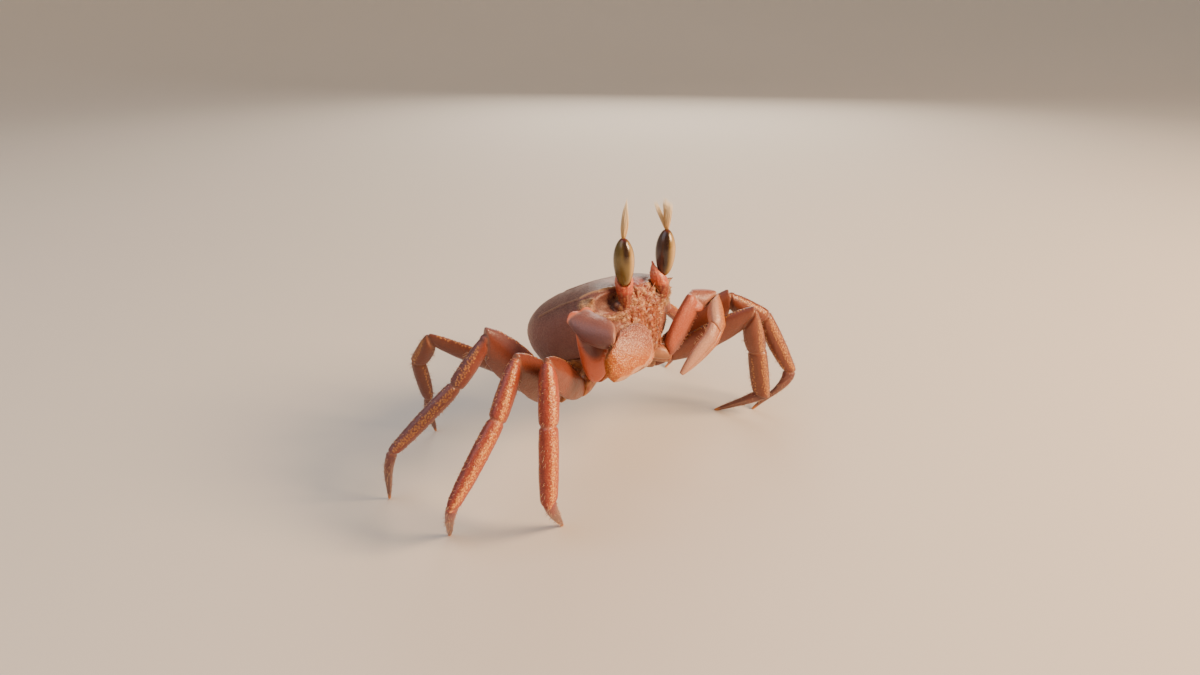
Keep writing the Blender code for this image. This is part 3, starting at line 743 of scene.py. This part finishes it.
def makeCarapace():
    w = stance["shellWidth"]
    cage = bmesh.new()
    bmesh.ops.create_icosphere(cage, subdivisions=7, radius=1)
    form = pushSockets(bodySurface(np.array([v.co for v in cage.verts])))
    for vert, point in zip(cage.verts, fromBody(form)):
        vert.co = point
    level, rise = bodyForm["edge"]
    normal = bodyTurn @ Vector((0, -rise, 1)).normalized()
    cut = bmesh.ops.bisect_plane(cage, geom=cage.verts[:] + cage.edges[:] + cage.faces[:],
                                 plane_co=onBody(0, 0, level), plane_no=normal, clear_inner=True)
    rim = [e for e in cut["geom_cut"] if isinstance(e, bmesh.types.BMEdge)]
    bmesh.ops.holes_fill(cage, edges=rim, sides=0)
    for sign in (-1, 1):
        for middle, radii in bodyForm["lumps"]:
            size = Matrix.Diagonal((*[radius * w for radius in radii], 1))
            bmesh.ops.create_icosphere(cage, subdivisions=3, radius=1, matrix=Matrix.Translation(
                onBody(sign * middle[0], *middle[1:])) @ bodyTurn.to_4x4() @ size)
        for root, point, radius in bodyForm["teeth"]:
            root, point = onBody(sign * root[0], *root[1:]), onBody(sign * point[0], *point[1:])
            turn = (point - root).to_track_quat("Z", "Y").to_matrix().to_4x4()
            bmesh.ops.create_cone(
                cage, cap_ends=True, segments=16, radius1=radius * w, radius2=0.2 * mm,
                depth=(point - root).length * 1.06, matrix=Matrix.Translation((root + point) / 2) @ turn)
    shell = skin(meshObject("carapace_shell", cage), *bodyForm["skin"])
    points, _ = skinOf(shell)
    socket, radii = bodyForm["socket"]

    def inSocket(local):
        away = np.stack([np.abs(local[:, 0]), *local[:, 1:].T], 1) - np.array(socket)
        return np.linalg.norm(away / (np.array(radii) * 1.02), axis=1)

    near = inSocket(toBody(points))
    setPoints(shell, relax(shell, points, ramp(near, 1.35, -0.2) * (near > 0.8) * 0.5, 40))
    points, normals = skinOf(shell)
    local = toBody(points)
    lift, rows = np.zeros(len(points)), np.zeros(len(points))
    surface = surfaceOf(shell)
    lines = ridgeLines(0.008, surface)
    for line, height, wide in lines.values():
        lift = np.maximum(lift, fieldAt(local, line, wide * 2 * mm / w) ** 1.5 * height)
    for line, _, _ in ridgeLines(0.016, surface).values():  # a row of granules on each ridge
        rows = np.maximum(rows, fieldAt(local, line, 0.3 * mm / w))
    lift += rows * 0.12
    x, y, z = local.T
    top = ramp(z, 0.03, 0.05)
    for centre, size, depth in bodyForm["grooves"]:
        groove = np.exp(-((np.abs(x) - centre[0] - 0.06 * np.cos((y - centre[1]) * 9)) / size[0]) ** 2
                        - ((y - centre[1]) / size[1]) ** 4)
        lift -= groove * depth * top
    lift -= bell(x, 0.015) * ramp(y, -0.3, -0.08) * top * 0.3
    face = ramp(y, -0.36, -0.04) * ramp(np.abs(x), 0.3, -0.1) * ramp(z, 0.03, -0.03)
    warts = grains(points, bodyForm["warts"] * mm)
    fine = grains(points, bodyForm["granules"] * mm)
    lift += fine * (0.03 + 0.05 * ramp(z, 0, -0.1)) + softNoise(points, 5 * mm) * 0.06
    lift += face * (warts * 0.5 + softNoise(points, 1.8 * mm) * 0.3)
    raiseSkin(shell, points, normals, lift)
    hollow = inSocket(local)
    flank, margin, cheek, corner = (fieldAt(local, lines[name][0], reach) for name, reach in (
        ("flank", 0.01), ("margin", 0.013), ("cheek", 0.022), ("corner", 0.022)))
    pale, cheek = np.maximum(flank * 0.45, margin), np.maximum(cheek, corner)
    hole = ramp(hollow, 1.02, -0.15)
    outer = ramp(np.abs(x), 0.41, 0.05) * ramp(y, -0.28, -0.05) * (z < 0.02) * (z > -0.12)
    inner = unit(1 - np.abs(x) / 0.3)
    red = bell(x, 0.24) * ramp(y, -0.37, -0.05)
    # on the face the warts' tops are painted cream and the valleys between them redder: partly painted
    # highlight and painted shade over the face's own red and gold
    gold = [pale * 0.65, cheek * 0.5, outer * 0.45 * (hole < 0.5), face * warts ** 2 * 0.8]
    setMasks(shell, gold=np.maximum.reduce(gold),
             beads=np.maximum.reduce([outer * 0.7, face * 0.4, cheek * 0.5, hole * 0.06]),
             side=ramp(z, 0, -0.06) * (hollow > 1),
             # painted shade: deep darkens the hollows of the eye sockets
             deep=hole * (0.5 + 0.3 * fine) * (1 - 0.6 * inner),
             warm=unit(red * (1.1 - 0.4 * warts) + hole * inner * 1.6) * 0.9)
    addPiece(shell, shellCuticle, "shell", "carapace")


undersideForm = {
    "thorax": (0.26, 14), "abdomen": (0.2, 6),  # voxel in mm, smoothing steps
    "sutures": (-0.18, -0.06, 0.06, 0.18, 0.28),  # between the plates of the breast, in shell widths
    "rings": 0.085,  # length of one ring of the abdomen, in shell widths
}


def makeUnderside():
    thorax = skin(meshObject("thorax_and_hips", cadCage("thorax")), *undersideForm["thorax"])
    points, normals = skinOf(thorax)
    x, y, z = toBody(points).T
    lift = 0.15 + softNoise(points, 2.5 * mm) * 0.08
    flat = ramp(z, -0.44, -0.04) * ramp(np.abs(x), 0.3, -0.05)
    for level in undersideForm["sutures"]:
        lift -= flat * bell(y - level - np.abs(x) * 0.25, 0.008) * 0.35
    raiseSkin(thorax, points, normals, lift)
    # painted shade: deep darkens the upper thorax under the carapace's edge
    setMasks(thorax, warm=ramp(y, -0.05, -0.2) * 0.6, pale=flat * 0.6, deep=ramp(z, -0.4, 0.08) * 0.7,
             gold=ramp(np.abs(x), 0.3, 0.12) * grains(points, 1.0 * mm) * 0.6)
    addPiece(thorax, bellyCuticle, "underside", "thorax")
    flap = skin(meshObject("abdomen_flap", cadCage("abdomen")), *undersideForm["abdomen"])
    points, normals = skinOf(flap)
    x, y, z = toBody(points).T
    rings = unit(np.cos((y * 0.6 - z) * 2 * math.pi / undersideForm["rings"]) - 0.8)
    raiseSkin(flap, points, normals, rings * -1.2)
    setMasks(flap, pale=0.4, deep=rings * 2, warm=0.0, gold=0.0)
    addPiece(flap, bellyCuticle, "underside", "abdomen")


makeCarapace()
makeUnderside()
print("body made")


# mouth

mouthForm = {
    "skin": (0.18, 8),  # voxel in mm, smoothing steps
    # how many bristles, and their length in mm
    "beard": (190, 0.9), "cheeks": (180, 0.7), "brow": (90, 0.7), "fringe": (300, 0.8),
    "redWidth": 0.19, "goldWidth": 0.18,  # mm
    # the feelers' feet on the left half, and their lengths in mm
    "feelers": ((0.085, -0.455, -0.06, 2.6), (0.03, -0.475, -0.05, 1.4)),
    "feelerWidth": 0.5,
}


def makeMouth():
    down, ahead = bodyTurn @ Vector((0, -0.1, -0.8)), bodyTurn @ Vector((0, -0.5, 0.3))
    roots = []
    for side in ("right", "left"):
        plate = skin(meshObject("mouth_plate_" + side, cadCage("maxilliped_" + side)), *mouthForm["skin"])
        points, normals = skinOf(plate)
        x, _, z = toBody(points).T
        x = np.abs(x)
        outward = unit(-(normals @ turnTable)[:, 1])
        groove = bell(x - 0.105, 0.008) + bell(z + 0.3, 0.008)
        swell = np.sin(unit(x / 0.155) * math.pi)
        lump = grains(points, 1.5 * mm)
        raiseSkin(plate, points, normals, outward * (swell * 0.5 - groove * 0.15 + lump * 0.35))
        # painted shade: deep darkens the grooves and the gaps between the lumps, and the plate gets
        # darker towards its lower end
        setMasks(plate, warm=0.8, pale=0.0, gold=grains(points, 0.9 * mm) * 0.45,
                 deep=groove * outward * 0.4 + (1 - lump) * outward * 0.4 + ramp(z, -0.3, -0.12) * 0.4)
        addPiece(plate, bellyCuticle, "underside", "maxilliped_" + side)
        roots += scatterRoots(plate, outward * unit(1.3 - swell * 0.6), *mouthForm["beard"],
                              down, 1.0, bodySpot)
    shell = bpy.data.objects["carapace_shell"]
    local = toBody(skinOf(shell)[0])
    x, y, z = local.T
    x = np.abs(x)
    front = y < -0.34
    cheeks = front * (z < -0.13) * (z > -0.34) * ramp(x, 0.4, -0.2)
    brow = front * (z < 0.0) * (z > -0.15) * (x < 0.17)
    fringe = fieldAt(local, ridgeLines(0.01, surfaceOf(shell))["cheek"][0], 0.022)
    gold = scatterRoots(shell, brow, *mouthForm["brow"], down, 1.0, bodySpot)
    gold += scatterRoots(shell, fringe, *mouthForm["fringe"], ahead, 0.6, bodySpot)
    roots += scatterRoots(shell, cheeks * 0.6, *mouthForm["cheeks"], down, 0.7, bodySpot)
    bristles("mouth_bristles", roots, redHair, "underside", mouthForm["redWidth"])
    bristles("face_bristles", gold, goldHair, "shell", mouthForm["goldWidth"])
    feelers = []
    for sign in (-1, 1):
        for x, y, z, length in mouthForm["feelers"]:
            foot = np.array(onBody(sign * x, y, z))
            out, bend = bodyTurn @ Vector((sign * 0.5, -0.5, 0.6)), Vector((sign * 0.3, 0.1, 0.3))
            feelers.append((foot, out, bend, length * mm, bodySpot(foot)))
    bristles("antennae", feelers, redHair, "underside", mouthForm["feelerWidth"], 6)


makeMouth()
print("mouth made")


# eyes

eyeForm = {
    "brush": (320, 0.18),  # bristles, and their width in mm
    "skin": (0.12, 4),  # the stalk's voxel in mm, and smoothing steps
    # streak: degrees round to the dark streak, and the height where it begins; then where the painted
    # highlight stripe is, and its width; dusk: where the painted shade on the flank begins; fan: how far
    # the brush's bristles spread, how much they close again, and in how many points they end
    "right": {"streak": (-35, -0.15), "highlight": (0.15, 0.55), "dusk": 1.9, "fan": (0.34, 1.1, 1)},
    "left": {"streak": (-50, -0.9), "highlight": (0.05, 0.6), "dusk": 0.55, "fan": (0.42, 0.75, 3),
             "sail": ((0, 0.4, 0.7, 1), (1, 1.15, 0.8, 0.3))},  # the stalk's width, from foot to top
}


def corneaMaterial():
    # a compound eye under clear cuticle: glossy, khaki with a dark upright streak, a painted highlight
    # stripe and painted shade on one flank
    material, tree, shader = newMaterial(
        "cornea_clear_cuticle", Roughness=0.22, IOR=1.5, Coat_Weight=0.35, Coat_Roughness=0.06)
    place = add(tree, "TexCoord").outputs["Object"]
    cloud = add(tree, "TexNoise", {"Scale": 1 / (3.0 * mm), "Detail": 2.0}, {"Vector": place})
    colour = layer(tree, "645024", "7A6432", between(tree, cloud.outputs["Fac"], 0.35, 0.65))
    for mask, shade, share in (("shade", "4A3230", 0.9), ("bright", "D2AC72", 0.85),
                               ("streak", "2A1409", 0.95), ("cap", "5A1E14", 0.95)):
        colour = layer(tree, colour, shade, maskOf(tree, mask, share))
    tree.links.new(colour, shader.inputs["Base Color"])
    facet = add(tree, "TexVoronoi", {"Scale": 1 / (0.16 * mm)}, {"Vector": place})
    bump = add(tree, "Bump", {"Strength": 0.12, "Distance": 0.02 * mm},
               {"Height": facet.outputs["Distance"]})
    tree.links.new(bump.outputs["Normal"], shader.inputs["Normal"])
    return material


cornea = corneaMaterial()


def makeEye(side):
    form = eyeForm[side]
    points = cadPoints("cornea_" + side)
    middle = points.mean(0)
    axis = Vector(np.linalg.eigh(np.cov((points - middle).T))[1][:, 2])
    axis = axis if axis.z > 0 else -axis
    across = Vector((0, 1, 0)).cross(axis).normalized()
    ahead = axis.cross(across).normalized()
    half = np.abs((points - middle) @ np.array(axis)).max() * 0.98
    thick = np.abs((points - middle) @ np.array(across)).max() * 0.93
    cage = bmesh.new()
    bmesh.ops.create_uvsphere(cage, u_segments=64, v_segments=48, radius=1)
    for vert in cage.verts:
        x, y, z = vert.co
        slim = 1 - 0.1 * max(z, 0) ** 2 + 0.04 * math.sin(z * 2.2)
        vert.co = Vector(middle) + axis * (z * half) + (across * x + ahead * y) * (thick * slim)
    eye = meshObject("cornea_of_eye_" + side, cage)
    eye.data.shade_smooth()
    away = skinOf(eye)[0] - middle
    up = away @ np.array(axis) / half
    turn = np.arctan2(away @ np.array(across), -(away @ np.array(ahead)))
    highlight, wide = form["highlight"]
    lean, start = form["streak"]
    gap = np.abs((turn - math.radians(lean) + math.pi) % (2 * math.pi) - math.pi)
    streak = unit(1.5 - gap / (0.24 + 0.22 * unit(up))) * ramp(up, start, 0.5)
    # painted light: a painted highlight stripe, and painted shade on the flank that turns away
    setMasks(eye, streak=np.maximum(streak, ramp(gap, 2.4, 0.3)),
             cap=ramp(up, 0.86, 0.1) + ramp(up, -0.95, -0.05),
             bright=unit(1 - np.abs(turn - highlight) / wide) * unit(1.1 - up ** 2),
             shade=ramp(-turn, form["dusk"], 0.5))
    addPiece(eye, cornea, "cornea", "cornea_" + side)

    stalk = skin(meshObject("stalk_of_eye_" + side, cadCage("eyestalk_" + side)), *eyeForm["skin"])
    points, normals = skinOf(stalk)
    rise = (points - middle) @ np.array(axis) / half
    if "sail" in form:
        spine = np.stack([np.polyval(np.polyfit(rise, points[:, i], 2), rise) for i in range(3)], 1)
        height = (rise - rise.min()) / (rise.max() - rise.min())
        points = spine + (points - spine) * np.interp(height, *form["sail"])[:, None]
    raiseSkin(stalk, points, normals, 0.1 + grains(points, 0.55 * mm) * 0.12 * (rise > -1.1))
    setMasks(stalk, warm=ramp(rise, -1.15, 0.3), gold=grains(points, 0.55 * mm) * 0.4,
             deep=ramp(rise, -1.25, -0.12))
    addPiece(stalk, stalkCuticle, "stalk", "eyestalk_" + side)

    tuft = cadPoints("eye_tuft_" + side)
    foot = Vector(middle) + axis * (half * 0.97)
    far = Vector(tuft[np.argmax(tuft @ np.array(axis))])
    count, width = eyeForm["brush"]
    spread, close, ends = form["fan"]
    aim = (far - foot).normalized()
    roots = []
    for i in range(count):
        turn, out = rng.uniform(0, 2 * math.pi), math.sqrt(rng.random())
        offset = (across * math.cos(turn) + ahead * math.sin(turn)) * out
        bunch = (round(turn / 2 / math.pi * ends) + 0.25) / ends * 2 * math.pi
        gather = (across * math.cos(bunch) + ahead * math.sin(bunch)) * 0.7 * (ends > 1)
        share = 1 - 0.3 * out * rng.random() - 0.25 * rng.random() ** 2
        reach = (far - foot).length * share
        direction = aim + offset * spread
        pull = (gather - offset) * spread * close
        spot = (0.5 + offset.x * 0.4, 0.5 + offset.y * 0.4)
        roots.append((np.array(foot + offset * (0.35 * mm)), direction, pull, reach, spot))
    bristles("brush_of_eye_" + side, roots, strawHair, "tuft", width, 6)
    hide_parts("eye_tuft_" + side)


for side in ("right", "left"):
    makeEye(side)
print("eyes made")


# claws

clawForm = {
    # in the body's frame: across and up a claw as it is carried in front of the face
    "across": (0.64, -0.69, -0.34), "up": (0.21, -0.19, 0.94),
    "armVoxel": 0.2, "hand": (0.115, 36),  # mm; the hand's smoothing steps too
    "rim": {"right": 1.4, "left": 1.5},  # mm, round edge at each joint
    "hairs": (0.8, 0.12),  # mm, length and width
    # edge: how thin the arm gets at its edges; ball: skin of the joint; smooth and round: steps for the
    # whole arm and for the wrist; twist: degrees that the wrist turns, and how much it swells; slim and
    # slant: the palm's thickness, and how far its lower side leans; rows and teeth: granules on the arm,
    # degrees from its upper edge and mm high; grain: mm apart and high, on the palm; fringe: bristles
    "right": {"edge": 0.15, "ball": 0.7, "smooth": 14, "round": 180, "twist": (30, 1.24), "slim": 0.88,
              "slant": 0.22, "rows": (), "teeth": 0, "grain": (0.36, 0.06), "fringe": 200,
              "warmth": 1.0, "violet": 1.0, "specks": 0.0},
    "left": {"edge": 0.3, "ball": 0.92, "smooth": 16, "round": 60, "twist": (0, 1), "slim": 1,
             "slant": 0, "rows": (150, -150), "teeth": 0.45, "grain": (0.4, 0.05), "fringe": 60,
             "warmth": 0.5, "violet": 0.15, "specks": 0.15},
}


across, up = (np.array(clawForm[key]) for key in ("across", "up"))


def makeArm(side, form, limbs):
    outward = bodyTurn @ Vector(clawForm["across"]).cross(Vector(clawForm["up"]))
    cage = limbCage(limbs, (form["edge"],) * 2, legForm["fill"], clawForm["rim"][side], form["ball"],
                    (outward, *form["twist"]))
    arm = skin(meshObject("arm_and_wrist_" + side, cage), clawForm["armVoxel"], form["smooth"], 2)
    joint = np.array(jointOf(*limbs))
    bend = np.array((limbs[0]["axis"] + limbs[1]["axis"]).normalized())

    def wristOf(points):
        return unit((points - joint) @ bend / (0.5 * mm) + 0.5)

    points, _ = skinOf(arm)
    setPoints(arm, relax(arm, points, wristOf(points) * 0.5, form["round"]))
    points, normals = skinOf(arm)
    far = limbPlaces(points, limbs)[1]
    rows = [(0, turn, 0.1, 0.98) for turn in form["rows"]]
    teeth = fieldAt(points, edgeRows(limbs, rows, surfaceOf(arm), 0.62), 0.3 * mm)
    crease = creaseAt(points, limbs, 0.4)
    wrist = wristOf(points)
    fine = grains(points, form["grain"][0] * mm)
    raiseSkin(arm, points, normals, teeth * form["teeth"] + fine * 0.02 + softNoise(points, 3 * mm) * 0.06
              - crease * 0.12)
    facing = normals @ turnTable
    # painted highlight: the wrist is painted paler along its rim that faces across, and less violet on
    # its top
    rim = ramp(facing @ across, 0.45, 0.4) * wrist
    litCrown = unit(facing @ up)
    setMasks(arm, warm=(1 - wrist) * unit(1.3 - far * 0.4) * form["warmth"],
             violet=wrist * form["violet"] * (1 - rim) * (1 - 0.45 * litCrown),
             pale=np.maximum(crease * 0.2, teeth * 0.7 + rim * 0.35), beads=form["specks"] * (1 - crease),
             low=0.0, gold_beads=0.0)
    addPiece(arm, clawCuticle, "claw", *[limb["name"] for limb in limbs])


def makeClaw(side):
    form = clawForm[side]
    stem = "claw_" + side + "_"
    sign = -1 if side == "right" else 1
    limbs = limbFrames([stem + "merus", stem + "carpus"], onBody(sign * 0.1, -0.3, -0.5))
    makeArm(side, form, limbs)
    hand = limbFrame(stem + "palm", limbs[1]["ends"][1][0])
    start, axis = (np.array(hand[key]) for key in ("start", "axis"))
    palm = toBody(cadPoints(stem + "palm"))
    level, width = palm @ up, palm @ across
    roots = []
    for part, label in (("palm", "hand_"), ("finger", "moving_finger_")):
        piece = skin(meshObject(label + side, cadCage(stem + part)), *clawForm["hand"])
        local = toBody(skinOf(piece)[0])
        wide = local @ across
        low = unit((level.mean() - local @ up) / (level.max() - level.mean()))
        local += np.outer((wide - width.max()) * (form["slim"] - 1), across)
        local += np.outer((wide - width.mean()) * low * form["slant"], up)
        setPoints(piece, fromBody(local))
        points, normals = skinOf(piece)
        spacing, relief = form["grain"]
        fine = grains(points, spacing * mm)
        far = (points - start) @ axis / hand["length"]
        height = (toBody(points) @ up - level.min()) / (level.max() - level.min())
        fade = np.clip(1.25 - far, 0.15, 1)
        raiseSkin(piece, points, normals, 0.14 + fine * fade * relief + softNoise(points, 3 * mm) * 0.06)
        facing = normals @ turnTable
        if side == "right":  # golden below, with a cream edge
            low = ramp(height, 0.68, -0.3)
            edge = ramp(facing @ (across - up), 0.95, 0.3)
            setMasks(piece, low=low, beads=1 - low, gold_beads=low * 0.9, pale=edge * 0.9,
                     violet=ramp(height, 0.75, 0.25) * 0.3, warm=0.0)
        else:  # pinkish white, with a golden granular edge
            edge = ramp(facing @ across, 0.45, 0.35) * ramp(far, 0.95, -0.3)
            setMasks(piece, low=edge * 0.6, beads=0.3, gold_beads=edge, pale=(1 - edge) * 0.6,
                     violet=ramp(far, 0.2, -0.4) * 0.3, warm=0.0)
        addPiece(piece, clawCuticle, "claw", stem + part)
        upper = unit(facing[:, 2] - 0.55) * 2 * (far < 0.7)
        roots += scatterRoots(piece, upper, form["fringe"] // 2, clawForm["hairs"][0],
                              Vector((0, 0, 0.4)), 0.4, bodySpot)
    bristles("claw_bristles_" + side, roots, goldHair, "claw", clawForm["hairs"][1])


for side in ("right", "left"):
    makeClaw(side)
print("claws made")


# the room

room = {
    # the camera: degrees, shell widths and mm
    "azimuth": -50, "elevation": 22, "distance": 6.4, "slide": (-0.05, 0.26), "lens": 26.19,
    "floor": ("E3DDD3", "DDD7CC"), "wall": ("E8EAF0", 0.38),
    "sweep": (0.9, 1.6, 0.8),  # m: corner radius, wall height, flat radius
    # lamps: way to the right, back and up from the camera, size in m, watts and colour
    "lamps": {"key": ((0.85, 0.3, 0.38), 0.28, 11.0, "FFD3A4"),
              "fill": ((-0.7, 0.5, 0.8), 0.6, 1.6, "E6ECFF"),
              "rim": ((0.1, -0.9, 0.7), 0.4, 2.2, "FFF0E0")},
    "lampDistance": 0.7,  # m
}


def makeRoom():
    turn, tilt = math.radians(room["azimuth"]), math.radians(room["elevation"])
    right = Vector((math.cos(turn), math.sin(turn), 0))
    back = Vector((math.sin(turn) * math.cos(tilt), -math.cos(turn) * math.cos(tilt), math.sin(tilt)))
    up = back.cross(right)
    slideRight, slideUp = room["slide"]
    camera = newObject("camera", bpy.data.cameras.new("camera"))
    away = back * room["distance"] - right * slideRight - up * slideUp
    camera.location = bodyOrigin + away * stance["shellWidth"]
    camera.rotation_euler = (-back).to_track_quat("-Z", "Y").to_euler()
    camera.data.sensor_width = 36
    camera.data.lens = room["lens"]
    camera.data.clip_start = 0.005
    bpy.context.scene.camera = camera

    cage = bmesh.new()  # a round floor that curves up into a wall
    corner, wall, radius = room["sweep"]
    profile = [cage.verts.new((0, 0, 0)), cage.verts.new((radius, 0, 0))]
    for i in range(1, 17):
        bend = math.pi / 2 * i / 16
        profile.append(cage.verts.new((radius + corner * math.sin(bend), 0,
                                       corner * (1 - math.cos(bend)))))
    profile.append(cage.verts.new((radius + corner, 0, wall)))
    edges = [cage.edges.new(pair) for pair in zip(profile, profile[1:])]
    bmesh.ops.spin(cage, geom=profile + edges, cent=(0, 0, 0), axis=(0, 0, 1), angle=2 * math.pi,
                   steps=96, use_merge=True)
    bmesh.ops.remove_doubles(cage, verts=cage.verts, dist=0.01 * mm)
    bmesh.ops.recalc_face_normals(cage, faces=cage.faces)
    floor = meshObject("floor", cage)
    floor.data.shade_smooth()
    material, tree, shader = newMaterial("matt_studio_floor", Roughness=0.8)
    place = add(tree, "TexCoord").outputs["Object"]
    cloud = add(tree, "TexNoise", {"Scale": 3.0}, {"Vector": place})
    colour = layer(tree, *room["floor"], cloud.outputs["Fac"])
    tree.links.new(colour, shader.inputs["Base Color"])
    floor.data.materials.append(material)

    world = bpy.data.worlds.new("studio")
    bpy.context.scene.world = world
    world.use_nodes = True
    colour, strength = room["wall"]
    background = world.node_tree.nodes["Background"]
    background.inputs["Color"].default_value = linear(colour)
    background.inputs["Strength"].default_value = strength
    for name, ((toRight, toBack, rise), size, power, colour) in room["lamps"].items():
        light = bpy.data.lights.new(name, "AREA")
        light.size, light.energy, light.color = size, power, linear(colour)[:3]
        lamp = newObject(name, light)
        aim = (right * toRight + back * toBack + Vector((0, 0, rise))).normalized()
        lamp.location = bodyOrigin + aim * room["lampDistance"]
        lamp.rotation_euler = (bodyOrigin - lamp.location).to_track_quat("-Z", "Y").to_euler()


makeRoom()
